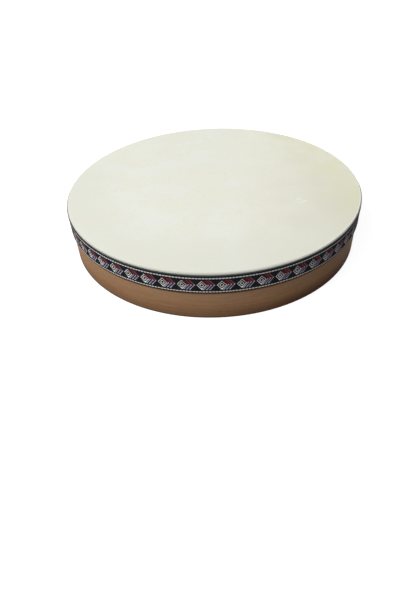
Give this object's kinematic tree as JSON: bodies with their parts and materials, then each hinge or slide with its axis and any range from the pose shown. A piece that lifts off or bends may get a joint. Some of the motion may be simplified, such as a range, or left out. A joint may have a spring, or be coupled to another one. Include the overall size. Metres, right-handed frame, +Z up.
{
  "type": "bendir",
  "caption": "Frame drum: a bentwood hoop with a thumb hole, a tacked goatskin head, a woven ribbon over the tacks and gut snares beneath the skin.",
  "frame": {"origin": "middle of the open rim's plane, on the drum's axis, where the drum stands", "axes": "+Z up along the drum's axis towards the head, +Y towards the thumb hole, snares along X"},
  "size_m": [0.4104, 0.4104, 0.0691],
  "materials": {
    "hoop_wood": "warm brown bentwood, satin",
    "goatskin": "cream goatskin, matt with faint mottling",
    "ribbon": "woven ribbon, black with red, lavender and white diamonds and chevrons",
    "gut": "twisted gut, amber, satin",
    "tack_steel": "blued steel",
    "brad_brass": "dulled brass"
  },
  "bodies": {
    "root": {"frame_hoop": "hoop_wood", "goatskin_head": "goatskin", "ribbon_trim": "ribbon", "hide_tack_01": "tack_steel", "hide_tack_02": "tack_steel", "hide_tack_03": "tack_steel", "hide_tack_04": "tack_steel", "hide_tack_05": "tack_steel", "hide_tack_06": "tack_steel", "hide_tack_07": "tack_steel", "hide_tack_08": "tack_steel", "hide_tack_09": "tack_steel", "hide_tack_10": "tack_steel", "hide_tack_11": "tack_steel", "hide_tack_12": "tack_steel", "hide_tack_13": "tack_steel", "hide_tack_14": "tack_steel", "hide_tack_15": "tack_steel", "hide_tack_16": "tack_steel", "hide_tack_17": "tack_steel", "hide_tack_18": "tack_steel", "hide_tack_19": "tack_steel", "hide_tack_20": "tack_steel", "hide_tack_21": "tack_steel", "hide_tack_22": "tack_steel", "hide_tack_23": "tack_steel", "hide_tack_24": "tack_steel", "scarf_brad_1": "brad_brass", "scarf_brad_2": "brad_brass", "scarf_brad_3": "brad_brass", "scarf_brad_4": "brad_brass", "scarf_brad_5": "brad_brass", "scarf_brad_6": "brad_brass", "snare_gut_1": "gut", "snare_gut_2": "gut", "snare_gut_3": "gut"}
  },
  "joints": []
}
